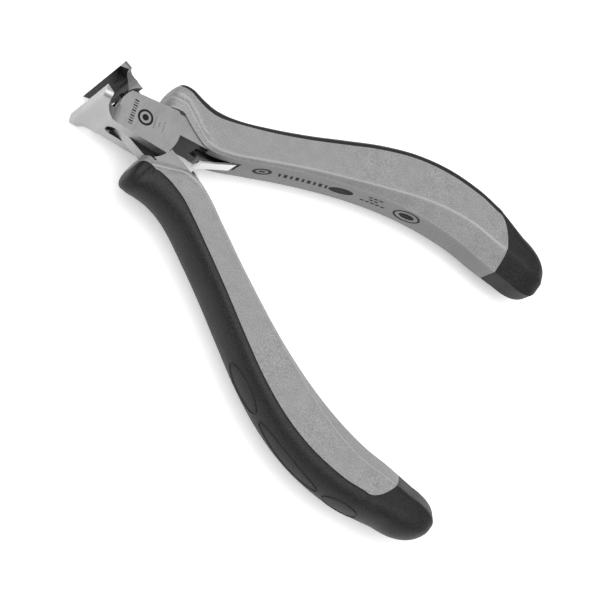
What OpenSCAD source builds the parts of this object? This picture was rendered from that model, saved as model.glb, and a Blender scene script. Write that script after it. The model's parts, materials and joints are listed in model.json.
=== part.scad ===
// End cutter for electronics work: a box-joint steel head with wide end-cutting jaws,
// two leaf springs and two-part handle grips.
// Origin: on the pivot axis, at the lower ground face of the box joint.
// +X points to the jaws, +Z along the pivot axis. Both halves are drawn closed, one each side
// of the XZ plane, and are turned apart by half of the opening angle.

/* [Pose] */
// Angle between the two halves in the sprung-open rest pose
opening = 26; // [6:1:26]

/* [Box joint] */
// Thickness of the box joint along the pivot
box_t = 8.8; // [8:0.1:10]
// Width of the box joint across the tool, at the pivot
box_w = 10; // [9.6:0.1:10.8]
// Radius of the cheeks' front edge about the pivot
cheek_front_r = 6.6; // [6:0.1:6.7]
// Radius of the cheeks' rear edge about the pivot
cheek_rear_r = 9.2; // [8.5:0.1:9.3]
// Thickness of the tongue that passes through the box
tongue_t = 3.2; // [3:0.1:4]
// Radius of the tongue's round boss
boss_r = 5.7; // [5:0.05:5.9]
// Radius of the pivot pin
pin_r = 2.1; // [1.8:0.1:2.6]

/* [Jaws] */
// Distance from the pivot to the cutting edges
edge_x = 12.3; // [11.5:0.1:14]
// Length of the cutting edges, along the pivot axis
edge_len = 20; // [16:0.5:24]
// Thickness of each jaw at its front face
jaw_t = 2.9; // [2.5:0.1:3.3]

/* [Grips] */
// Thickness of the grips along the pivot axis, at the head end
grip_t = 11.2; // [10.4:0.1:12.4]
// Thickness of the grips at the handle ends
grip_end_t = 12.5; // [11:0.1:13.4]
// Depth of the steel tang in each grip, from the pivot
tang_reach = 62; // [45:1:80]

/* [Springs] */
// Thickness of the spring leaf
leaf_t = 0.45; // [0.3:0.05:0.6]
// Width of the spring leaf along the pivot axis
leaf_w = 4; // [3:0.1:4.2]
// Length of the spring leaf from the centre of its eye
leaf_len = 9.5; // [7:0.1:9.5]
// Angle that each leaf stands off its handle at rest
leaf_angle = 24; // [5:1:24]

/* [Hidden] */

$fn = 96;
fit = 0.05;              // running clearance, and the gap between flat sliding faces
half_gap = 0.1;          // each half stays this far from the XZ plane when closed
edge_gap = 0.03;         // the same at the cutting edges
big = 60;                // larger than the head
flare_x = 5.6;           // the jaws widen from the box here
wing_x = 10.4;           // they reach their full width here
wing_r = 1.6;            // radius of the wings' outer corners
hollow_x = 8.8;          // middle of the hollow behind the cutting edges
hollow_r = [2.2, 1.85];  // its reach along and across the tool
edge_land = [1.2, 0.85]; // length and height of the ground slope behind a cutting edge
front_edge = 0.3;        // chamfer along the front face
box_h = box_w / 2;
side_taper = 0.074;      // the box narrows towards the jaws by this part of the distance
side_knee = 7.4;         // its sides turn in to the jaws' thickness from here
slot_t = tongue_t + 2 * fit;
slot_end_x = 5;          // middle of the slot's rounded front end, in the jaw's side
slot_end_depth = 2.4;
shoulder_r = cheek_front_r + 0.3;
tang_r = cheek_rear_r + 0.15;
tang_end = -17;          // the tang is as thick as the box down to here
tang_start = -14;        // its curved part runs back from here
tang_step = 4;           // and is drawn in steps of this length
tang_thin = 5;           // its thickness inside the grip
tang_w = 4.8;            // its width inside the grip
eye_x = -25;             // centre of the leaf spring's rolled eye
eye_y = 2;
eye_r = 0.9;
eye_pin_r = 0.5;
pocket_t = leaf_w + 0.6;
grip_nose = -4.4;        // foremost point of the finger guard beside the box's plain side
guard_reach = 0.55;      // reach of the other finger guard, as a part of this one's
grip_end = -116;         // end of the handle
cap_start = -106;        // the end cap rounds off from here
nose_power = 2.8;        // 2 is a round guard, and more is squarer
cap_power = 2.4;         // 2 is a round end cap, and more is squarer
cap_slope = 0.27;        // how fast the middle of the end cap nears the XZ plane
core_end = -101.5;       // end of the hard grip core
seam_turn = -96;         // the seam turns in to the core's end from here
dome_share = 0.35;       // the end cap's dome starts at this part of the pad's width
dome_from = -88;         // it grows in from here
dome_turn = 16;          // over this distance
under_bevel = 0.45;      // depth of the bevel on the lower face, as a part of the upper one's
guard_x = -8.6;          // the finger guard is widest here
guard_y = 13.6;
pad_rim = 0.02;          // the hard nose starts this far ahead of the pad
nose_t = 0.6;            // thickness of the guard's tip, as a part of the grip's
pad_lip = 0.1;           // the pad's edge is this much below the core, along the seam
flank_y = side_y(guard_x) + 0.1; // inner face of the finger guard, beside the box

// Outlines of one closed handle, as [distance along the tool, distance from the XZ plane]
INNER = [[-8.4, flank_y], [-12.3, 2.6], [-16.2, 0.35], [-22, 0.6], [-30, 3], [-40, 6.1],
         [-50, 8.7], [-60, 10.7], [-70, 11.9], [-80, 12.1], [-90, 11.2], [-98, 9.4],
         [cap_start, 8]];
OUTER = [[guard_x, guard_y], [-9.8, 13.4], [-12, 12.4], [-16, 11.3], [-22, 11.4], [-30, 13.6],
         [-40, 17], [-50, 20.9], [-60, 24.6], [-70, 27.2], [-80, 28.2], [-90, 27.2], [-98, 24.9],
         [cap_start, 21.4]];
// The seam of each handle's pad, from the pad's foremost point back: the outer half's grip
// shows more of its hard core at the guard
OUTER_SEAM = [[-6.2, 11.8], [-8.5, 11.2], [-10.5, 10], [-13, 8.9], [-16, 8.4], [-20, 8.9],
              [-30, 11.4], [-40, 14.6], [-50, 18.4], [-60, 22.1], [-70, 24.6], [-80, 25.2],
              [-90, 24], [seam_turn, 22.2]];
INNER_SEAM = [[-4.7, 8.4], [-5.6, 8], [-7, 7.75], [-8.5, 7.5], [-10.5, 7.1], [-13, 6.7], [-16, 6.6],
              [-20, 7.1], [-30, 10.3], [-40, 13.8], [-50, 17.6], [-60, 21.2], [-70, 23.6],
              [-80, 24.2], [-90, 22.9], [seam_turn, 21]];
// The bevel along the grip's inner side, as [distance, width] and [distance, depth]
bevel_end = -110;
BEVEL_W = [[-8, 2], [-12, 1.8], [-15, 1.3], [-20, 0.8], [-40, 0.9], [-55, 1.3], [-66, 2.2],
           [-78, 3.8], [-90, 4.8], [bevel_end, 4.6]];
BEVEL_D = [[-8, 0.8], [-45, 1.1], [-60, 1.9], [-80, 3.2], [-100, 4.4], [bevel_end, 4.6]];

// Smooth curve through a list of points whose first coordinates fall
function span(p, x, i = 0) = i >= len(p) - 2 || x >= p[i + 1][0] ? i : span(p, x, i + 1);
function slope(p, i) =
    let (a = max(i - 1, 0), b = min(i + 1, len(p) - 1))
    (p[b][1] - p[a][1]) / (p[b][0] - p[a][0]);
function curve(p, x) =
    let (i = span(p, x), h = p[i + 1][0] - p[i][0], t = (x - p[i][0]) / h)
    (2 * t ^ 3 - 3 * t ^ 2 + 1) * p[i][1] + (t ^ 3 - 2 * t ^ 2 + t) * h * slope(p, i)
    + (3 * t ^ 2 - 2 * t ^ 3) * p[i + 1][1] + (t ^ 3 - t ^ 2) * h * slope(p, i + 1);
function quarter(t) = sqrt(max(0, 1 - t * t));

// The grip's faces at distance x along the tool
function cap(x) =
    x > cap_start ? 1 :
    (1 - ((cap_start - x) / (cap_start - grip_end)) ^ cap_power) ^ (1 / cap_power);
function cap_mid(x) =
    (curve(OUTER, cap_start) + curve(INNER, cap_start)) / 2 - cap_slope * (cap_start - x);
function cap_half() = (curve(OUTER, cap_start) - curve(INNER, cap_start)) / 2;
function inner(x) =
    x > INNER[0][0] ? flank_y :
    x < cap_start ? cap_mid(x) - cap_half() * cap(x) : curve(INNER, x);
function nose_curve(x) =
    (1 - ((x - guard_x) / (grip_nose - guard_x)) ^ nose_power) ^ (1 / nose_power);
function outer(x) =
    x > guard_x ? flank_y + (guard_y - flank_y) * nose_curve(x) :
    x < cap_start ? cap_mid(x) + cap_half() * cap(x) : curve(OUTER, x);
function pad_start(p) = p[0][0];
function seam(p, x) =
    let (turn = p[len(p) - 1][1], end = inner(core_end))
    x > pad_start(p) ? outer(x) :
    x > seam_turn ? curve(p, x) :
    x > core_end ? end + (turn - end) * quarter((seam_turn - x) / (seam_turn - core_end)) :
    inner(x);
function nose(x) =
    x < guard_x ? 1 : nose_t + (1 - nose_t) * nose_curve(x);
function half_t(x) =
    (grip_t + (grip_end_t - grip_t) * min(1, max(0, (-50 - x) / 50))) / 2 * cap(x) * nose(x);

// Sections across a grip: a bevelled inner side, a flat top and a domed outer side.
// The pad meets the hard grip in a wall at the seam p
function bevel_w(x) = curve(BEVEL_W, max(x, bevel_end)) * cap(x);
function bevel_d(x) = min(curve(BEVEL_D, max(x, bevel_end)), 0.75 * half_t(x));
function drop(x, y) = max(0, 1 - (y - inner(x)) / bevel_w(x)) * bevel_d(x);
function top_z(x, y) = half_t(x) - drop(x, y);
function under_z(x, y) = under_bevel * drop(x, y) - half_t(x);
function guard_place(x, reach) = x > guard_x ? guard_x + (x - guard_x) * reach : x;
function lip_points(wall, rise, lip) =
    [for (t = lip > 0 ? [0, 0.5, 1] : [0, 1]) [wall + rise * t, lip * (1 - t) ^ 2]];
function section(x, wall, rise, lip, round_y, round_w, steps, reach) =
    let (edge = lip_points(wall, rise, lip), n = len(edge) - 1)
    [for (q = concat([for (i = [n:-1:0]) [edge[i][0], under_z(x, edge[i][0]) + edge[i][1]]],
                     [for (i = [0:n]) [edge[i][0], top_z(x, edge[i][0]) - edge[i][1]]],
                     [for (a = steps)
                         let (z = a > 0 ? top_z(x, round_y) : -under_z(x, round_y))
                         [round_y + round_w * cos(a), z * sin(a)]]))
        [guard_place(x, reach), q[0], q[1]]];
function core_section(p, x, reach) =
    let (y = inner(x), s = max(seam(p, x), y + 0.12), w = min(bevel_w(x), 0.5 * (s - y)),
         free = x > pad_start(p) ? min(s - y - w - 0.05, 0.55 * (s - y) + 0.4) :
                x < core_end + 0.1 ? 0.01 : 0)
    section(x, y, w, 0, s - free, free, [90:-18:-90], reach);
function pad_section(p, x, reach) =
    let (s = x > core_end ? seam(p, x) : inner(x), rise = max(bevel_w(x) - (s - inner(x)), 0.3),
         wide = outer(x) - s, edge = min(rise, 0.5 * wide),
         dome = s + max(edge, dome_share * wide * min(1, max(0, (dome_from - x) / dome_turn))))
    section(x, s, edge, min(pad_lip, 0.2 * edge), dome, outer(x) - dome, [80:-16:-80], reach);

// Closed solid through a list of sections
module loft(sections) {
    n = len(sections[0]);
    last = (len(sections) - 1) * n;
    polyhedron(
        points = [for (s = sections) each s],
        faces = concat(
            [[for (i = [0:n - 1]) i]],
            [for (k = [0:len(sections) - 2], i = [0:n - 1])
                [k * n + i, k * n + n + i, k * n + n + (i + 1) % n, k * n + (i + 1) % n]],
            [[for (i = [n - 1:-1:0]) last + i]]),
        convexity = 8);
}

// One half is drawn on the +Y side; side = -1 mirrors it. Each is turned out to its rest pose
module placed(side) {
    translate([0, 0, box_t / 2])
        rotate(-side * opening / 2)
            mirror([0, side > 0 ? 0 : 1, 0])
                children();
}
module slab(t) {
    linear_extrude(t, center = true, convexity = 6) children();
}

// Side of the box at distance x along the tool
function side_y(x) = box_h - side_taper * x;

// Plan of a jaw: flat front face, hollow inner side, root flared out to the box's side
module jaw_plan() {
    polygon(concat(
        [[edge_x, edge_gap], [edge_x, jaw_t - front_edge], [edge_x - front_edge, jaw_t],
         [wing_x, jaw_t], [side_knee, side_y(side_knee)], [0, box_h], [0, half_gap],
         [cheek_front_r, half_gap]],
        [for (a = [15:15:120]) [hollow_x - hollow_r[0] * cos(a), half_gap + hollow_r[1] * sin(a)]],
        [[edge_x - edge_land[0], edge_land[1]]]));
}
// Side view of both jaws' width: full at the edges, curving in to the box
module jaw_width() {
    wing = [wing_x - flare_x, (edge_len - box_t) / 2];
    rotate([90, 0, 0])
        linear_extrude(big, center = true)
            for (m = [0, 1]) mirror([0, m])
                polygon(concat(
                    [[-big, 0], [-big, box_t / 2]],
                    [for (a = [0:7.5:90]) [flare_x + wing[0] * sin(a),
                                           box_t / 2 + wing[1] * (1 - cos(a))]],
                    [[edge_x + 1, edge_len / 2], [edge_x + 1, 0]]));
}
// Plan of the steel tang, w wider all round than the tang itself
function tang_mid(x) = (inner(x) + seam(INNER_SEAM, x)) / 2;
module tang_plan(w) {
    polygon(concat(
        [for (x = [tang_start:-tang_step:-tang_reach - w]) [x, tang_mid(x) - tang_w / 2 - w]],
        [[-tang_reach - w, tang_mid(-tang_reach) - tang_w / 2 - w],
         [-tang_reach - w, tang_mid(-tang_reach) + tang_w / 2 + w]],
        [for (i = [floor((tang_reach + tang_start) / tang_step):-1:0])
            let (x = tang_start - tang_step * i) [x, tang_mid(x) + tang_w / 2 + w]]));
}
// Plan of the thick part of the tang, behind radius r
module tang_root_plan(r, w) {
    difference() {
        translate([tang_end - w, half_gap - w])
            square([-tang_end - 6 + w, box_h - half_gap + 2 * w]);
        circle(r);
    }
}
module tang(r) {
    difference() {
        union() {
            slab(box_t) tang_root_plan(r, 0);
            slab(tang_thin) tang_plan(0);
        }
        spring_pocket();
    }
}
// Room for the leaf spring in the handle's inner face
module spring_pocket() {
    slab(pocket_t)
        polygon([[eye_x - 1.6, -2], [eye_x - 1.6, eye_y + 1.3], [eye_x + 1.8, eye_y + 1.3],
                 [eye_x + leaf_len + 0.8, eye_y + 0.3], [eye_x + leaf_len + 0.8, -2]]);
}

module cheeks_plan() {
    intersection() {
        polygon([for (m = [-1, 1], n = [-m, m]) [n * big, m * side_y(n * big)]]);
        union() {
            intersection() {
                circle(cheek_front_r);
                translate([0, -big]) square([big, 2 * big]);
            }
            intersection() {
                circle(cheek_rear_r);
                translate([-big, -big]) square([big, 2 * big]);
            }
        }
    }
}
// Solid parts of the box between its cheeks: one behind the jaw, one ahead of the tang
module webs_plan() {
    difference() {
        union() {
            polygon([[0, half_gap], [big, half_gap], [big, box_h * 1.3], [6.6, box_h * 1.3],
                     [2.8, 1.8]]);
            translate([-big, -big]) square([big - 0.3, big - half_gap]);
        }
        circle(boss_r + 0.1);
    }
}

// Outer corners of a jaw's wings, rounded as seen from the front
module wing_corners() {
    reach = edge_len / 2;
    rotate([90, 0, 90])
        linear_extrude(big, center = true)
            for (m = [0, 1]) mirror([0, m])
                polygon(concat(
                    [[-1, -1], [big, -1], [big, reach - wing_r], [jaw_t, reach - wing_r]],
                    [for (a = [10:10:90]) [jaw_t - wing_r * (1 - cos(a)),
                                           reach - wing_r * (1 - sin(a))]],
                    [[-1, reach]]));
}

// Half with the box: its jaw is on the +Y side and its tang on the -Y side when closed
module outer_half() color("silver")
    translate([0, 0, box_t / 2]) rotate(opening / 2)
        difference() {
            union() {
                intersection() {
                    slab(edge_len) jaw_plan();
                    jaw_width();
                    wing_corners();
                }
                slab(box_t) cheeks_plan();
                mirror([0, 1, 0]) tang(0);
            }
            slab(slot_t) difference() {
                square(2 * cheek_rear_r + 1, center = true);
                webs_plan();
            }
            translate([slot_end_x, box_h, 0])
                rotate([90, 0, 0])
                    cylinder(r = slot_t / 2, h = slot_end_depth, center = true);
            cylinder(r = pin_r, h = big, center = true);
        }

// Half with the tongue: its jaw is on the -Y side and its tang on the +Y side when closed
module inner_half() color("gray")
    translate([0, 0, box_t / 2]) rotate(-opening / 2)
        difference() {
            union() {
                intersection() {
                    slab(edge_len) difference() {
                        mirror([0, 1]) jaw_plan();
                        circle(shoulder_r);
                    }
                    jaw_width();
                    mirror([0, 1, 0]) wing_corners();
                }
                slab(tongue_t) {
                    intersection() {
                        circle(boss_r);
                        square([big, box_w], center = true);
                    }
                    intersection() {
                        circle(shoulder_r + 0.6);
                        polygon([[0, -half_gap], [8, -half_gap], [8, -box_h], [2.8, -box_h]]);
                    }
                    translate([-9.6, half_gap]) square([9.6, box_h - half_gap]);
                }
                tang(tang_r);
            }
            cylinder(r = pin_r + fit, h = big, center = true);
        }

module pivot_pin() color("silver")
    cylinder(r = pin_r, h = box_t);

// Stations along the grips, closer together where the outline turns quickly
function guard_x_list(p) = [for (a = [15:15:90]) guard_x + (pad_start(p) - guard_x) * cos(a)];
HANDLE_X = concat([for (x = [-9.6:-1.4:-18]) x], [for (x = [-20:-4:-92]) x],
                  [-94, -96, -98, -99.6, -100.6, -101.2, core_end + 0.05]);
NOSE_X = [for (a = [4:10:64]) guard_x + (grip_nose - guard_x) * cos(a)];
function core_x(p) =
    concat([for (x = NOSE_X) if (x > pad_start(p) + 2 * pad_rim) x],
           [pad_start(p) + pad_rim, pad_start(p)], guard_x_list(p), HANDLE_X);
function pad_x(p) =
    concat([pad_start(p)], guard_x_list(p), HANDLE_X, [core_end - 0.2, -103, -105, cap_start],
           [for (a = [16:12:76]) cap_start + (grip_end - cap_start) * sin(a)],
           [grip_end + 0.1]);

function seam_of(side) = side > 0 ? INNER_SEAM : OUTER_SEAM;
function reach_of(side) = side > 0 ? guard_reach : 1;
module grip(side) color("darkgray") placed(side)
    difference() {
        loft([for (x = core_x(seam_of(side))) core_section(seam_of(side), x, reach_of(side))]);
        slab(tang_thin + 2 * fit) tang_plan(fit);
        slab(box_t + 2 * fit) tang_root_plan(0, fit);
        spring_pocket();
        translate([eye_x, eye_y, 0]) cylinder(r = eye_pin_r, h = pocket_t + 3, center = true);
    }
module pad(side) color("dimgray") placed(side)
    loft([for (x = pad_x(seam_of(side))) pad_section(seam_of(side), x, reach_of(side))]);

module leaf_spring(side) color("lightgray") placed(side)
    translate([eye_x, eye_y, 0]) rotate(-leaf_angle)
        difference() {
            slab(leaf_w) {
                circle(eye_r);
                translate([0, -eye_r]) square([leaf_len - 0.6, leaf_t]);
                translate([leaf_len - 0.6, -eye_r]) rotate(20) square([0.8, leaf_t]);
            }
            cylinder(r = eye_pin_r + fit, h = big, center = true);
        }
module spring_pin(side) color("silver") placed(side)
    translate([eye_x, eye_y, 0]) cylinder(r = eye_pin_r, h = pocket_t + 3, center = true);

module outer_grip() grip(-1);
module inner_grip() grip(1);
module outer_pad() pad(-1);
module inner_pad() pad(1);
module outer_leaf_spring() leaf_spring(-1);
module inner_leaf_spring() leaf_spring(1);
module outer_spring_pin() spring_pin(-1);
module inner_spring_pin() spring_pin(1);

outer_half();
inner_half();
pivot_pin();
outer_grip();
inner_grip();
outer_pad();
inner_pad();
outer_leaf_spring();
inner_leaf_spring();
outer_spring_pin();
inner_spring_pin();
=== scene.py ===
"""Looks for the end cutter: grips, pads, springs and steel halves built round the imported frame."""
import json
import math

import bmesh
import bpy
from mathutils import Matrix, Vector


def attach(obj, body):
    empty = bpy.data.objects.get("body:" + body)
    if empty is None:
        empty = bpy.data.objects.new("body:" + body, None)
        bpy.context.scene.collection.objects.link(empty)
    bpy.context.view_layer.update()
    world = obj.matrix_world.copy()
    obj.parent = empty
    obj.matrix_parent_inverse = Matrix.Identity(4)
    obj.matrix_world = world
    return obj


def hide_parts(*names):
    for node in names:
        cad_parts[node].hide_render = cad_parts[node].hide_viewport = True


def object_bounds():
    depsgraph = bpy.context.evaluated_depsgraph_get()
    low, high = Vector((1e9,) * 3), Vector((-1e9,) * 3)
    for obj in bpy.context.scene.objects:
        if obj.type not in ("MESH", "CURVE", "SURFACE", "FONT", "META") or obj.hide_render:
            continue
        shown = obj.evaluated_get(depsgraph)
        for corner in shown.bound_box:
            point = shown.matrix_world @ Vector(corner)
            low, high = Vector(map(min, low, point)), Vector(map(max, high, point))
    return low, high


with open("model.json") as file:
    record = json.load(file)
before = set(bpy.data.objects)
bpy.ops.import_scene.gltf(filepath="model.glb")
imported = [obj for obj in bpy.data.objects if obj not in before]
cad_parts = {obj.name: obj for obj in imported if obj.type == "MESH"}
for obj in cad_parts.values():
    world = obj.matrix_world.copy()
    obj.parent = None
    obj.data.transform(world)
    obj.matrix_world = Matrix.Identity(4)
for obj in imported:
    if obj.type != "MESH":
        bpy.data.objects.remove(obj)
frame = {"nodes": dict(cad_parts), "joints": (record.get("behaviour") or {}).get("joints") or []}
cad_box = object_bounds()

MM = 0.001
JOINTS = {joint["name"]: joint for joint in frame["joints"]}
PIVOT = Vector(JOINTS["pivot"]["pos_m"]) / MM
HALF_OPEN = math.radians(13.0)

# One closed handle, in millimetres: distance along the tool, then distance from the middle plane.
BOX_T = 8.8
BOX_H = 5.0
SLOT_T = 3.3
SIDE_TAPER = 0.074
GUARD_X = -8.6
FLANK_Y = BOX_H - SIDE_TAPER * GUARD_X + 0.1
INNER = [(-8.4, FLANK_Y), (-12.3, 2.6), (-16.2, 0.35), (-22, 0.6), (-30, 3), (-40, 6.1), (-50, 8.7),
         (-60, 10.7), (-70, 11.9), (-80, 12.1), (-90, 11.2), (-98, 9.4), (-106, 8)]
OUTER = [(-8.6, 13.6), (-9.8, 13.4), (-12, 12.4), (-16, 11.3), (-22, 11.4), (-30, 13.6), (-40, 17),
         (-50, 20.9), (-60, 24.6), (-70, 27.2), (-80, 28.2), (-90, 27.2), (-98, 24.9), (-106, 21.4)]
SEAMS = {
    -1: [(-6.2, 11.8), (-8.5, 11.2), (-10.5, 10), (-13, 8.9), (-16, 8.4), (-20, 8.9), (-30, 11.4),
         (-40, 14.6), (-50, 18.4), (-60, 22.1), (-70, 24.6), (-80, 25.2), (-90, 24), (-96, 22.2)],
    1: [(-4.7, 8.4), (-5.6, 8), (-7, 7.75), (-8.5, 7.5), (-10.5, 7.1), (-13, 6.7), (-16, 6.6),
        (-20, 7.1), (-30, 10.3), (-40, 13.8), (-50, 17.6), (-60, 21.2), (-70, 23.6), (-80, 24.2),
        (-90, 22.9), (-96, 21)],
}
GUARD_REACH = {-1: 1.0, 1: 0.55}
BEVEL_W = [(-8, 2), (-12, 1.8), (-15, 1.3), (-20, 0.8), (-40, 0.9), (-55, 1.3), (-66, 2.2),
           (-78, 3.8), (-90, 4.8), (-110, 4.6)]
BEVEL_D = [(-8, 0.8), (-45, 1.1), (-60, 1.9), (-80, 3.2), (-100, 4.4), (-110, 4.6)]
UNDER_BEVEL = 0.45
GRIP_T = 11.2
GRIP_END_T = 12.5
GRIP_NOSE = -4.4
GRIP_END = -116.0
CAP_START = -106.0
CAP_POWER = 2.4
CAP_SLOPE = 0.27
PAD_RIM = 0.02
DOME_FROM = -94.0
DOME_TURN = 18.0
CAP_ROUND = 0.36
CORE_END = -101.5
GUARD_Y = 13.6
NOSE_T = 0.35
NOSE_POWER = 2.8
SEAM_TURN = -96.0


def curve(points, x):
    """Smooth curve through points whose first coordinates fall."""
    last = len(points) - 1
    i = 0
    while i < last - 1 and x < points[i + 1][0]:
        i += 1

    def slope(k):
        a, b = max(k - 1, 0), min(k + 1, last)
        return (points[b][1] - points[a][1]) / (points[b][0] - points[a][0])

    h = points[i + 1][0] - points[i][0]
    t = (x - points[i][0]) / h
    return ((2 * t**3 - 3 * t**2 + 1) * points[i][1] + (t**3 - 2 * t**2 + t) * h * slope(i)
            + (3 * t**2 - 2 * t**3) * points[i + 1][1] + (t**3 - t**2) * h * slope(i + 1))


def quarter(t):
    return math.sqrt(max(0.0, 1 - t * t))


def cap(x):
    if x > CAP_START:
        return 1.0
    t = min(1.0, (CAP_START - x) / (CAP_START - GRIP_END))
    return (1 - t**CAP_POWER)**(1 / CAP_POWER)


def cap_mid(x):
    return (curve(OUTER, CAP_START) + curve(INNER, CAP_START)) / 2 - CAP_SLOPE * (CAP_START - x)


CAP_HALF = (curve(OUTER, CAP_START) - curve(INNER, CAP_START)) / 2


def inner(x):
    if x > INNER[0][0]:
        return FLANK_Y
    return cap_mid(x) - CAP_HALF * cap(x) if x < CAP_START else curve(INNER, x)


def nose_curve(x):
    """1 at the widest place of the finger guard, falling to 0 at its tip."""
    t = min(1.0, (x - GUARD_X) / (GRIP_NOSE - GUARD_X))
    return (1 - t**NOSE_POWER)**(1 / NOSE_POWER)


def outer(x):
    if x > GUARD_X:
        return FLANK_Y + (GUARD_Y - FLANK_Y) * nose_curve(x)
    return cap_mid(x) + CAP_HALF * cap(x) if x < CAP_START else curve(OUTER, x)


def pad_start(side):
    return SEAMS[side][0][0]


def seam(side, x):
    if x > pad_start(side):
        return outer(x)
    if x > SEAM_TURN:
        return curve(SEAMS[side], x)
    if x > CORE_END:
        end = inner(CORE_END)
        return end + (SEAMS[side][-1][1] - end) * quarter((SEAM_TURN - x) / (SEAM_TURN - CORE_END))
    return inner(x)


def half_t(x):
    nose = 1.0 if x < GUARD_X else NOSE_T + (1 - NOSE_T) * nose_curve(x)
    grow = min(1.0, max(0.0, (THICKENS_FROM - x) / THICKENS_OVER))
    return (GRIP_T + (GRIP_END_T - GRIP_T) * grow) / 2 * cap(x) * nose


def bevel_w(x):
    return curve(BEVEL_W, max(x, BEVEL_END)) * cap(x)


def bevel_d(x):
    return min(curve(BEVEL_D, max(x, BEVEL_END)), BEVEL_SHARE * half_t(x))


THICKENS_FROM = -50.0
THICKENS_OVER = 50.0
BEVEL_END = -110.0
BEVEL_SHARE = 0.75
EDGE_SOFTNESS = 0.1
COLLAR_END = -21.0
COLLAR_START = -16.0
GROOVE_DEPTH = 0.5
GROOVE_PLACE = 1.45
GROOVE_WIDTH = 0.3
SHOULDER_START = 0.35
SHOULDER_FROM = -8.0
SHOULDER_OVER = 9.0
SHOULDER_DEPTH = 0.62


def drop(x, y):
    """Depth of the bevel below the flat top, with its two edges slightly rounded."""
    u = 1 - (y - inner(x)) / max(bevel_w(x), 1e-6)
    if u <= -2:
        return 0.0
    rounded = (u + math.sqrt(u * u + EDGE_SOFTNESS**2)) / 2
    return rounded * bevel_d(x)


def groove(x, y):
    """Channel beside the collar's bead, at the head end of the hard grip."""
    fade = min(1.0, max(0.0, (x - COLLAR_END) / (COLLAR_START - COLLAR_END)))
    t = ((y - inner(x)) / bevel_w(x) - GROOVE_PLACE) / GROOVE_WIDTH
    return GROOVE_DEPTH * fade * math.exp(-t * t)


def shoulder(x, y):
    """The guard's top rounds down towards its outer side."""
    along = min(1.0, max(0.0, (SHOULDER_FROM - x) / SHOULDER_OVER))
    start = SHOULDER_START + (1 - SHOULDER_START) * along
    if start > 0.99:
        return 0.0
    t = (y - inner(x)) / (outer(x) - inner(x))
    u = min(1.0, max(0.0, (t - start) / (1 - start)))
    return SHOULDER_DEPTH * half_t(x) * (1 - math.sqrt(1 - u * u))


def top_z(x, y):
    return half_t(x) - drop(x, y) - groove(x, y) - shoulder(x, y)


def under_z(x, y):
    return UNDER_BEVEL * drop(x, y) + groove(x, y) + shoulder(x, y) - half_t(x)


def guard_place(x, side):
    return GUARD_X + (x - GUARD_X) * GUARD_REACH[side] if x > GUARD_X else x


def to_row(x, y, z, side):
    """A point of the closed half on side +1 or -1, turned out to its rest place, in metres."""
    a = -side * HALF_OPEN
    yy = y * side
    c, s = math.cos(a), math.sin(a)
    return (MM * (PIVOT.x + c * x - s * yy), MM * (PIVOT.y + s * x + c * yy), MM * (PIVOT.z + z))


def new_object(name, verts, faces):
    mesh = bpy.data.meshes.new(name)
    mesh.from_pydata(verts, [], faces)
    mesh.validate()
    bm = bmesh.new()
    bm.from_mesh(mesh)
    bmesh.ops.recalc_face_normals(bm, faces=bm.faces)
    bm.to_mesh(mesh)
    bm.free()
    obj = bpy.data.objects.new(name, mesh)
    bpy.context.collection.objects.link(obj)
    return obj


def loft(name, sections, side):
    """Closed skin through sections, each a ring of (x, y, z) in millimetres with an optional fourth value,
    the ridge lightening (worn polish and painted highlight).
    """
    n = len(sections[0])
    verts = [to_row(*p[:3], side) for ring in sections for p in ring]
    faces = [tuple(range(n)), tuple(reversed(range((len(sections) - 1) * n, len(sections) * n)))]
    for k in range(len(sections) - 1):
        for i in range(n):
            j = (i + 1) % n
            faces.append((k * n + i, k * n + n + i, k * n + n + j, k * n + j))
    obj = new_object(name, verts, faces)
    if len(sections[0][0]) > 3:
        wear_and_highlight = obj.data.attributes.new("wear_and_highlight", "FLOAT", "POINT")
        wear_and_highlight.data.foreach_set("value", [p[3] for ring in sections for p in ring])
    return obj


def stations(start, end, step):
    count = max(1, round(abs(start - end) / step))
    return [start + (end - start) * i / count for i in range(count + 1)]


def smooth(obj, angle=40):
    for poly in obj.data.polygons:
        poly.use_smooth = True
    with bpy.context.temp_override(object=obj, active_object=obj, selected_objects=[obj],
                                   selected_editable_objects=[obj]):
        bpy.ops.object.shade_smooth_by_angle(angle=math.radians(angle))
    return obj


BEVEL_STEPS = (0.0, 0.04, 0.12, 0.3, 0.5, 0.7, 0.84, 0.92, 1.0, 1.08, 1.2)
WALL_STEPS = (0.06, 0.2, 0.5, 0.8, 0.94)
ACROSS = [n / 14 for n in range(1, 14)]
PAD_LIP = 0.22
LEAST_RISE = 0.35
LEAST_CORE = 0.12


def section(side, x, wall, rise, lip, dome, width, steps):
    """One ring: up the inner side, over the bevel, along the flat and round the outer side."""
    flat = [wall + min(rise * t, dome - wall) for t in BEVEL_STEPS]
    flat += [flat[-1] + (dome - flat[-1]) * f for f in ACROSS]
    cut = [lip * max(0.0, 1 - (y - wall) / rise)**2 for y in flat]
    low, high = under_z(x, wall) + lip, top_z(x, wall) - lip
    ring = [(y, under_z(x, y) + c) for y, c in zip(reversed(flat), reversed(cut))]
    ring += [(wall, low + (high - low) * f) for f in WALL_STEPS]
    ring += [(y, top_z(x, y) - c) for y, c in zip(flat, cut)]
    for a in steps:
        turn = math.radians(a)
        z = top_z(x, dome) if a > 0 else -under_z(x, dome)
        ring.append((dome + width * math.cos(turn), z * math.sin(turn)))
    return [(guard_place(x, side), y, z, wear_and_highlight_at(x, y, z)) for y, z in ring]


RIDGE_WIDTH = 0.2


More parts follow.
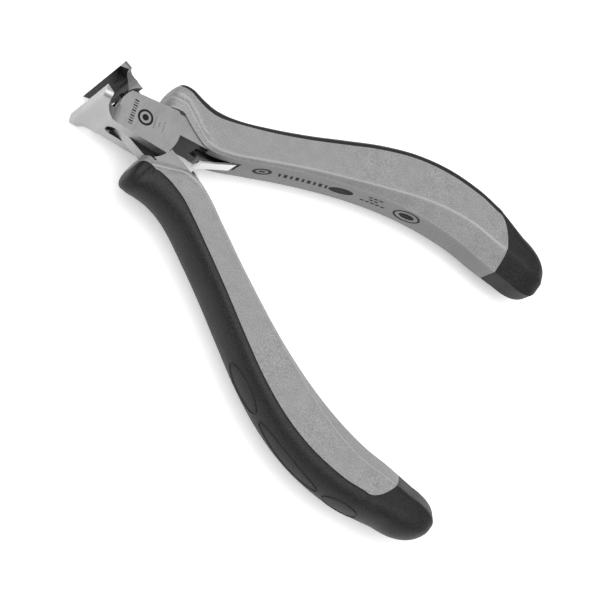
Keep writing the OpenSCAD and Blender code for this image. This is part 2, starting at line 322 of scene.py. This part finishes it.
def wear_and_highlight_at(x, y, z):
    """Lighter colour along the ridge between the bevel and the flat top, and along the bevel's lower edge:
    partly worn polish, partly painted highlight, weaker on the underside.
    """
    from_ridge = (y - inner(x) - bevel_w(x)) / RIDGE_WIDTH
    from_wall = (y - inner(x)) / RIDGE_WIDTH + max(0.0, abs(z - top_z(x, inner(x))) / 0.6)
    second = (y - inner(x) - 1.75 * bevel_w(x)) / RIDGE_WIDTH if x > COLLAR_START else 9.0
    upper = 1.0 if z > 0 else 0.4
    return upper * min(1.0, 0.7 * math.exp(-from_ridge**2) + 0.3 * math.exp(-from_wall**2)
                       + 0.6 * math.exp(-second**2))


def round_width(side, x):
    """Width of the pad's domed outer side, growing smoothly into the end cap."""
    near = max(x, DOME_FROM)
    wide = outer(near) - seam(side, near)
    along = outer(near) - dome_start(side, near)
    if x >= DOME_FROM:
        return min(along, wide)
    t = min(1.0, (DOME_FROM - x) / DOME_TURN)
    t = t * t * (3 - 2 * t)
    return along * (1 - t) + CAP_ROUND * (outer(x) - inner(x)) * t


def dome_start(side, x):
    s = seam(side, x)
    return s + min(max(bevel_w(x) - (s - inner(x)), LEAST_RISE), 0.5 * (outer(x) - s))


def core_section(side, x):
    y = inner(x)
    s = max(seam(side, x), y + LEAST_CORE)
    w = min(bevel_w(x), 0.5 * (s - y))
    free = min(s - y - w - 0.05, 0.18 * (s - y) + 0.3) if x > pad_start(side) else 0.0
    return section(side, x, y, w, 0.0, s - free, free, range(90, -91, -10))


def pad_section(side, x):
    s = seam(side, x) if x > CORE_END else inner(x)
    wide = outer(x) - s
    rise = min(max(bevel_w(x) - (s - inner(x)), LEAST_RISE), 0.5 * wide)
    dome = max(s + rise, outer(x) - round_width(side, x))
    lip = min(PAD_LIP, 0.4 * rise) if x > CORE_END else 0.0
    return section(side, x, s, rise, lip, dome, outer(x) - dome, range(87, -88, -6))


def grip_stations(side):
    nose = [GUARD_X + (GRIP_NOSE - GUARD_X) * math.cos(math.radians(a)) for a in range(2, 65, 4)]
    guard = stations(pad_start(side), -18, 0.4)
    body = stations(-18.8, -94, 1.0)
    end = stations(-95, SEAM_TURN, 0.5) + [SEAM_TURN + (CORE_END - SEAM_TURN) * math.sin(math.radians(a))
                                           for a in range(6, 90, 6)]
    return nose, guard, body, end


def make_grip(side, name):
    nose, guard, body, end = grip_stations(side)
    start = pad_start(side)
    xs = [x for x in nose if x > start + 2 * PAD_RIM] + [start + PAD_RIM]
    xs += guard + body + end + [CORE_END + 0.01]
    return smooth(loft(name, [core_section(side, x) for x in xs], side), 35)


def make_pad(side, name):
    nose, guard, body, end = grip_stations(side)
    tip = [CAP_START + (GRIP_END - CAP_START) * math.sin(math.radians(a)) for a in range(4, 88, 5)]
    xs = guard + body + end + stations(CORE_END - 0.05, CAP_START, 0.8) + tip
    return smooth(loft(name, [pad_section(side, x) for x in xs], side), 35)


# ---------------------------------------------------------------- materials
def material(name):
    mat = bpy.data.materials.new(name)
    mat.use_nodes = True
    tree = mat.node_tree
    tree.nodes.clear()
    out = tree.nodes.new("ShaderNodeOutputMaterial")
    shader = tree.nodes.new("ShaderNodeBsdfPrincipled")
    tree.links.new(shader.outputs[0], out.inputs["Surface"])
    return mat, tree, shader


def node(tree, kind, **settings):
    new = tree.nodes.new(kind)
    for key, value in settings.items():
        if key in new.inputs:
            new.inputs[key].default_value = value
        else:
            setattr(new, key, value)
    return new


def ramp(tree, source, stops):
    new = tree.nodes.new("ShaderNodeValToRGB")
    while len(new.color_ramp.elements) < len(stops):
        new.color_ramp.elements.new(0.5)
    for element, (place, colour) in zip(new.color_ramp.elements, stops):
        element.position = place
        element.color = (*colour, 1) if len(colour) == 3 else colour
    tree.links.new(source, new.inputs["Fac"])
    return new.outputs["Color"]


def grey(value):
    return (value, value, value)


def place_texture(tree, scale=(1, 1, 1)):
    coord = tree.nodes.new("ShaderNodeTexCoord")
    mapping = tree.nodes.new("ShaderNodeMapping")
    mapping.inputs["Scale"].default_value = scale
    tree.links.new(coord.outputs["Object"], mapping.inputs["Vector"])
    return mapping.outputs["Vector"]


def noise(tree, vector, scale, detail=3.0, rough=0.5):
    new = node(tree, "ShaderNodeTexNoise", Scale=scale, Detail=detail, Roughness=rough)
    tree.links.new(vector, new.inputs["Vector"])
    return new.outputs["Fac"]


def add_bump(tree, shader, height, strength, distance, base=None):
    new = node(tree, "ShaderNodeBump", Strength=strength, Distance=distance)
    tree.links.new(height, new.inputs["Height"])
    if base is not None:
        tree.links.new(base, new.inputs["Normal"])
    tree.links.new(new.outputs["Normal"], shader.inputs["Normal"])
    return new.outputs["Normal"]


def attribute(tree, name):
    new = tree.nodes.new("ShaderNodeAttribute")
    new.attribute_name = name
    return new.outputs["Fac"]


def mixed(tree, factor, first, second, blend="MIX"):
    new = node(tree, "ShaderNodeMix", data_type="RGBA", blend_type=blend)
    for socket, value in ((0, factor), (6, first), (7, second)):
        if isinstance(value, (int, float)):
            new.inputs[socket].default_value = value
        elif isinstance(value, tuple):
            new.inputs[socket].default_value = (*value, 1)
        else:
            tree.links.new(value, new.inputs[socket])
    return new.outputs[2]


def painted_side_shade(tree, low):
    """Painted shade: faces that do not look up are darker, by the factor low."""
    coord = tree.nodes.new("ShaderNodeTexCoord")
    split = tree.nodes.new("ShaderNodeSeparateXYZ")
    tree.links.new(coord.outputs["Normal"], split.inputs[0])
    return ramp(tree, split.outputs["Z"], [(0.1, grey(low)), (0.85, grey(1.0))])


def hard_plastic():
    mat, tree, shader = material("hard_speckled_plastic")
    place = place_texture(tree)
    fine = noise(tree, place, 4200, 1.5, 0.6)
    blotch = noise(tree, place, 300, 4.0, 0.6)
    speckle = ramp(tree, fine, [(0.3, grey(0.17)), (0.5, grey(0.25)), (0.7, grey(0.34))])
    cloud = ramp(tree, blotch, [(0.3, grey(0.9)), (0.7, grey(1.06))])
    body = mixed(tree, 1.0, speckle, cloud, "MULTIPLY")
    # lighter grey along the ridges: partly worn polish, partly painted highlight
    edge = mixed(tree, attribute(tree, "wear_and_highlight"), body, grey(0.42))
    # painted shade: faces that do not look up are darkened to 0.66
    shaded = mixed(tree, 1.0, edge, painted_side_shade(tree, 0.66), "MULTIPLY")
    tree.links.new(shaded, shader.inputs["Base Color"])
    rough = ramp(tree, blotch, [(0.3, grey(0.38)), (0.7, grey(0.5))])
    tree.links.new(rough, shader.inputs["Roughness"])
    shader.inputs["Specular IOR Level"].default_value = 0.4
    add_bump(tree, shader, fine, 0.3, 0.00005)
    return mat


def soft_rubber():
    mat, tree, shader = material("soft_grained_rubber")
    place = place_texture(tree)
    grain = noise(tree, place, 3400, 1.5, 0.6)
    blotch = noise(tree, place, 220, 4.0, 0.6)
    body = ramp(tree, grain, [(0.3, grey(0.004)), (0.5, grey(0.01)), (0.68, grey(0.026))])
    cloud = ramp(tree, blotch, [(0.3, grey(0.85)), (0.7, grey(1.1))])
    # painted shade: faces that do not look up are darkened to 0.5
    shaded = mixed(tree, 1.0, mixed(tree, 1.0, body, cloud, "MULTIPLY"), painted_side_shade(tree, 0.5), "MULTIPLY")
    tree.links.new(shaded, shader.inputs["Base Color"])
    rough = ramp(tree, blotch, [(0.3, grey(0.46)), (0.7, grey(0.56))])
    tree.links.new(rough, shader.inputs["Roughness"])
    shader.inputs["Specular IOR Level"].default_value = 0.3
    add_bump(tree, shader, grain, 0.6, 0.0001)
    return mat


def print_ink():
    mat, tree, shader = material("print_ink")
    patchy = noise(tree, place_texture(tree), 2500, 2.0, 0.6)
    colour = ramp(tree, patchy, [(0.3, grey(0.006)), (0.7, grey(0.016))])
    tree.links.new(colour, shader.inputs["Base Color"])
    shader.inputs["Roughness"].default_value = 0.6
    shader.inputs["Specular IOR Level"].default_value = 0.1
    add_bump(tree, shader, patchy, 0.2, 0.00003)
    return mat


def steel(name, base, rough_low, rough_high, metal=1.0, scratch_scale=(900, 60, 900)):
    mat, tree, shader = material(name)
    place = place_texture(tree, scratch_scale)
    fine = noise(tree, place, 6.0, 3.0, 0.6)
    broad = noise(tree, place_texture(tree), 160, 3.0, 0.5)
    colour = ramp(tree, broad, [(0.3, grey(base * 0.93)), (0.7, grey(base * 1.05))])
    tree.links.new(colour, shader.inputs["Base Color"])
    rough = ramp(tree, fine, [(0.3, grey(rough_low)), (0.7, grey(rough_high))])
    tree.links.new(rough, shader.inputs["Roughness"])
    shader.inputs["Metallic"].default_value = metal
    add_bump(tree, shader, fine, 0.03, 0.00002)
    return mat


MATERIALS = {
    "hard": hard_plastic(),
    "soft": soft_rubber(),
    "plate": steel("satin_plate", 0.37, 0.26, 0.36),
    "ground": steel("ground_steel", 0.38, 0.36, 0.46, 0.8),
    # near-black steel for the slot, hollows and tang: painted shade
    "dark": steel("dark_steel_painted_shade", 0.035, 0.2, 0.32),
    # light, barely metallic chamfer faces: painted highlight
    "edge": steel("painted_highlight_edges", 0.85, 0.3, 0.4, 0.15),
    "ink": print_ink(),
    "bright": steel("bright_spring_steel", 0.68, 0.14, 0.24),
}


def dress(obj, key):
    obj.data.materials.clear()
    obj.data.materials.append(MATERIALS[key])


def applied(obj):
    """The object with its modifiers turned into plain mesh."""
    graph = bpy.context.evaluated_depsgraph_get()
    mesh = bpy.data.meshes.new_from_object(obj.evaluated_get(graph))
    obj.modifiers.clear()
    obj.data = mesh
    return obj


EYE_X, EYE_Y, LEAF_LEN, POCKET_T = -25.0, 2.0, 9.5, 4.6


def prism(name, plan, low, high, side):
    """Upright solid on a plan of (x, y) points, from height low to high."""
    return loft(name, [[(x, y, z) for x, y in plan] for z in (low, high)], side)


def cut_pocket(grip, side):
    plan = [(EYE_X - 1.6, -3), (EYE_X - 1.6, EYE_Y + 1.3), (EYE_X + 1.8, EYE_Y + 1.3),
            (EYE_X + LEAF_LEN + 0.8, EYE_Y + 0.3), (EYE_X + LEAF_LEN + 0.8, -3)]
    cutter = prism(grip.name + "_cutter", plan, -POCKET_T / 2, POCKET_T / 2, side)
    cut = grip.modifiers.new("pocket", "BOOLEAN")
    cut.operation = "DIFFERENCE"
    cut.solver = "EXACT"
    cut.object = cutter
    bpy.context.view_layer.update()
    applied(grip)
    bpy.data.objects.remove(cutter)
    return grip


STEEL_EDGE = 0.26 * MM


def steel_half(name, side):
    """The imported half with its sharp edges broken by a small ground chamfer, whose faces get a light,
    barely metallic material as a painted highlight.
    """
    mesh = frame["nodes"][name].data.copy()
    obj = bpy.data.objects.new(name + "_steel", mesh)
    bpy.context.collection.objects.link(obj)
    bm = bmesh.new()
    bm.from_mesh(mesh)
    bmesh.ops.remove_doubles(bm, verts=bm.verts, dist=1e-6)
    bmesh.ops.dissolve_limit(bm, angle_limit=math.radians(0.3), verts=bm.verts, edges=bm.edges)
    bm.to_mesh(mesh)
    bm.free()
    obj.data.materials.clear()
    for key in ("plate", "ground", "dark", "edge"):
        obj.data.materials.append(MATERIALS[key])
    for poly in obj.data.polygons:
        poly.material_index = steel_kind(poly, side)
    edge = obj.modifiers.new("edge", "BEVEL")
    edge.material = 3
    edge.width = STEEL_EDGE
    edge.segments = 1
    edge.limit_method = "ANGLE"
    edge.angle_limit = math.radians(32)
    bpy.context.view_layer.update()
    applied(obj)
    smooth(obj, 30)
    even = obj.modifiers.new("even", "WEIGHTED_NORMAL")
    even.keep_sharp = True
    even.weight = 100
    bpy.context.view_layer.update()
    return applied(obj)


def steel_kind(poly, side):
    """0 on the ground outer plates, 2 inside the slot, the hollows and the tang (dark steel as painted
    shade), 1 elsewhere.
    """
    a = side * HALF_OPEN
    c, s = math.cos(a), math.sin(a)
    p, n = poly.center / MM - PIVOT, poly.normal
    x, y = c * p.x - s * p.y, (s * p.x + c * p.y) * side
    ny = (s * n.x + c * n.y) * side
    if abs(n.z) > 0.9 and abs(p.z) > BOX_T / 2 - 0.05:
        return 0
    if abs(p.z) <= SLOT_T / 2 + 0.02 and x < 7 and abs(y) < BOX_H - 0.75:
        return 2
    if x < -8 and ny < -0.3:
        return 2
    if x > 6.8 and y > -2.75 and ny > 0.15:
        return 2
    return 1


LIFT = 0.012


def decal(name, strokes, to_point, side, body, key):
    """Thin print lying on a surface: strokes are outlines in the surface's own two directions."""
    verts, faces = [], []
    for left, right, closed in strokes:
        start = len(verts)
        n = len(left)
        verts += [to_row(*to_point(u, v), side) for pair in zip(left, right) for u, v in pair]
        for k in range(n if closed else n - 1):
            a, b = start + 2 * k, start + 2 * ((k + 1) % n)
            faces.append((a, a + 1, b + 1, b))
    obj = new_object(name, verts, faces)
    dress(obj, key)
    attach(obj, body)
    return obj


def ring(u, v, a, b, line, steps=40):
    """Elliptical outline."""
    turns = [2 * math.pi * k / steps for k in range(steps)]
    return ([(u + (a - line) * math.cos(t), v + (b - line) * math.sin(t)) for t in turns],
            [(u + a * math.cos(t), v + b * math.sin(t)) for t in turns], True)


def disc(u, v, a, b):
    return ring(u, v, a, b, min(a, b) * 0.98)


def bar(u, v, along, width, slant=0.0):
    """Straight stroke along v, leaning by slant."""
    half = width / 2
    ends = [-along / 2 + along * k / 4 for k in range(5)]
    return ([(u - half + slant * e, v + e) for e in ends],
            [(u + half + slant * e, v + e) for e in ends], False)


def dash(u, v, along, width):
    """Straight stroke along u, cut into short steps so that it follows a curved wall."""
    ends = [-along / 2 + along * k / 6 for k in range(7)]
    return ([(u + e, v - width / 2) for e in ends], [(u + e, v + width / 2) for e in ends], False)


def plate_point(u, v):
    return (u, v, BOX_T / 2 + LIFT)


def wall_point(u, v):
    return (u, inner(u) - LIFT, v)


for side, half in ((-1, "outer"), (1, "inner")):
    grip = cut_pocket(make_grip(side, half + "_hard_grip"), side)
    smooth(grip, 35)
    dress(grip, "hard")
    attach(grip, half)
    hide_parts(half + "_grip")
    pad = make_pad(side, half + "_soft_pad")
    dress(pad, "soft")
    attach(pad, half)
    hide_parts(half + "_pad")
    steel_piece = steel_half(half + "_half", side)
    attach(steel_piece, half)
    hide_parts(half + "_half")

# Plain marks: a ring with a dot and rows of strokes on the plate, and a row along the inner side
plate_marks = [ring(-0.1, 0.0, 1.95, 1.95, 0.55), disc(-0.1, 0.0, 0.8, 0.8)]
plate_marks += [bar(3.0, -3.1 + 0.66 * k, 0.22 + 0.14 * (k % 2), 1.05, 0.3) for k in range(10)]
plate_marks += [bar(-2.6, -1.4 + 0.4 * k, 0.12, 0.32) for k in range(8)]
plate_marks += [bar(-3.7, -0.5 + 0.4 * k, 0.12, 0.3) for k in range(3)]
plate_marks += [bar(-4.9, -1.2 + 0.4 * k, 0.12, 0.28) for k in range(7)]
decal("plate_marks", plate_marks, plate_point, -1, "outer", "ink")

wall_marks = [ring(-32.9, 0.4, 2.4, 1.9, 0.8), dash(-32.9, 0.4, 1.6, 0.9)]
wall_marks += [bar(-37.6 - 1.6 * k, 0.2 - 0.05 * k, 1.9, 0.65 + 0.3 * (k % 2), 0.35) for k in range(9)]
wall_marks += [disc(-54.6, -0.2, 3.4, 1.6)]
wall_marks += [dash(-62.2 - 1.5 * k, 1.5, 1.1, 0.6) for k in range(3)]
wall_marks += [dash(-63.0 - 1.5 * k, 0.2, 1.1, 0.6) for k in range(2)]
wall_marks += [dash(-61.2 - 1.5 * k, -1.1, 1.1, 0.6) for k in range(5)]
wall_marks += [ring(-74.0, -0.3, 3.8, 2.6, 0.55), disc(-74.0, -0.3, 2.2, 1.2)]
decal("side_marks", wall_marks, wall_point, -1, "outer", "ink")


def tube(name, path, radius, side):
    """Closed round bead along a loop of points."""
    sides = 8
    verts, faces, n = [], [], len(path)
    for k, here in enumerate(path):
        along = (Vector(path[(k + 1) % n]) - Vector(path[k - 1])).normalized()
        across = along.cross(Vector((0, 0, 1)))
        across = across.normalized() if across.length > 1e-3 else Vector((0, 1, 0))
        up = across.cross(along)
        for m in range(sides):
            turn = 2 * math.pi * m / sides
            spot = Vector(here) + radius * (math.cos(turn) * across + math.sin(turn) * up)
            verts.append(to_row(*spot, side))
    for k in range(n):
        for m in range(sides):
            a, b = k * sides, (k + 1) % n * sides
            faces.append((a + m, a + (m + 1) % sides, b + (m + 1) % sides, b + m))
    return smooth(new_object(name, verts, faces), 60)


def dome_point(side, x, turn):
    """A place on the pad's outer side, turned from its middle line towards its upper face."""
    dome = max(dome_start(side, x), outer(x) - round_width(side, x))
    z = top_z(x, dome) if turn > 0 else -under_z(x, dome)
    return (x, dome + (outer(x) - dome) * math.cos(turn), z * math.sin(turn))


def oval(side, middle, reach, spread, steps=72):
    turns = [2 * math.pi * k / steps for k in range(steps)]
    return [dome_point(side, middle + reach * math.cos(t), math.radians(spread * math.sin(t)))
            for t in turns]


BEAD_R = 0.2
for number, (middle, reach, spread) in enumerate(((-60.0, 6.0, 26), (-78.5, 10.5, 20), (-95.5, 4.6, 26))):
    for side, half in ((-1, "outer"), (1, "inner")):
        bead = tube(f"{half}_pad_oval_{number + 1}", oval(side, middle, reach, spread), BEAD_R, side)
        dress(bead, "soft")
        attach(bead, half)

dress(frame["nodes"]["pivot_pin"], "plate")
for name in ("outer_leaf_spring", "inner_leaf_spring", "outer_spring_pin", "inner_spring_pin"):
    dress(frame["nodes"][name], "bright")

# ---------------------------------------------------------------- camera, floor and light
CAMERA_PLACE = Vector((0.0628, 0.1997, 0.3239))
camera_data = bpy.data.cameras.new("camera")
camera_data.lens = 100
camera_data.sensor_width = 36
camera = bpy.data.objects.new("camera", camera_data)
bpy.context.collection.objects.link(camera)
axis_x = Vector((-0.7460, -0.4142, 0.5215))
axis_y = Vector((-0.5935, 0.7687, -0.2385))
axis_z = Vector((-0.3021, -0.4874, -0.8193))
facing = Matrix((axis_x, -axis_y, -axis_z)).transposed().to_4x4()
camera.matrix_world = Matrix.Translation(CAMERA_PLACE) @ facing
bpy.context.scene.camera = camera

floor_z = cad_box[0][2]
floor = new_object("floor", [(-3, -3, floor_z), (3, -3, floor_z), (3, 3, floor_z), (-3, 3, floor_z)],
                   [(0, 1, 2, 3)])
floor_mat, _, floor_shader = material("pale_floor")
floor_shader.inputs["Base Color"].default_value = (0.9, 0.9, 0.9, 1)
floor_shader.inputs["Roughness"].default_value = 0.9
floor_shader.inputs["Emission Color"].default_value = (1, 1, 1, 1)
floor_shader.inputs["Emission Strength"].default_value = 0.3
floor.data.materials.append(floor_mat)

world = bpy.data.worlds.new("studio")
world.use_nodes = True
tree = world.node_tree
background = tree.nodes["Background"]
background.inputs["Strength"].default_value = 0.75
sky = tree.nodes.new("ShaderNodeTexCoord")
split = tree.nodes.new("ShaderNodeSeparateXYZ")
tree.links.new(sky.outputs["Generated"], split.inputs[0])
shade = ramp(tree, split.outputs["Z"], [(0.0, grey(0.12)), (0.3, grey(0.2)), (0.62, grey(0.85)),
                                        (1.0, grey(1.0))])
tree.links.new(shade, background.inputs["Color"])
bpy.context.scene.world = world
bpy.context.scene.view_settings.view_transform = "Standard"


def area_light(name, place, target, size, power):
    data = bpy.data.lights.new(name, "AREA")
    data.shape = "SQUARE"
    data.size = size
    data.energy = power
    lamp = bpy.data.objects.new(name, data)
    lamp.location = place
    lamp.rotation_euler = (Vector(target) - Vector(place)).to_track_quat("-Z", "Y").to_euler()
    bpy.context.collection.objects.link(lamp)
    return lamp


area_light("top_softbox", (0.1, 0.2, 1.0), (-0.04, 0, 0), 1.4, 13)
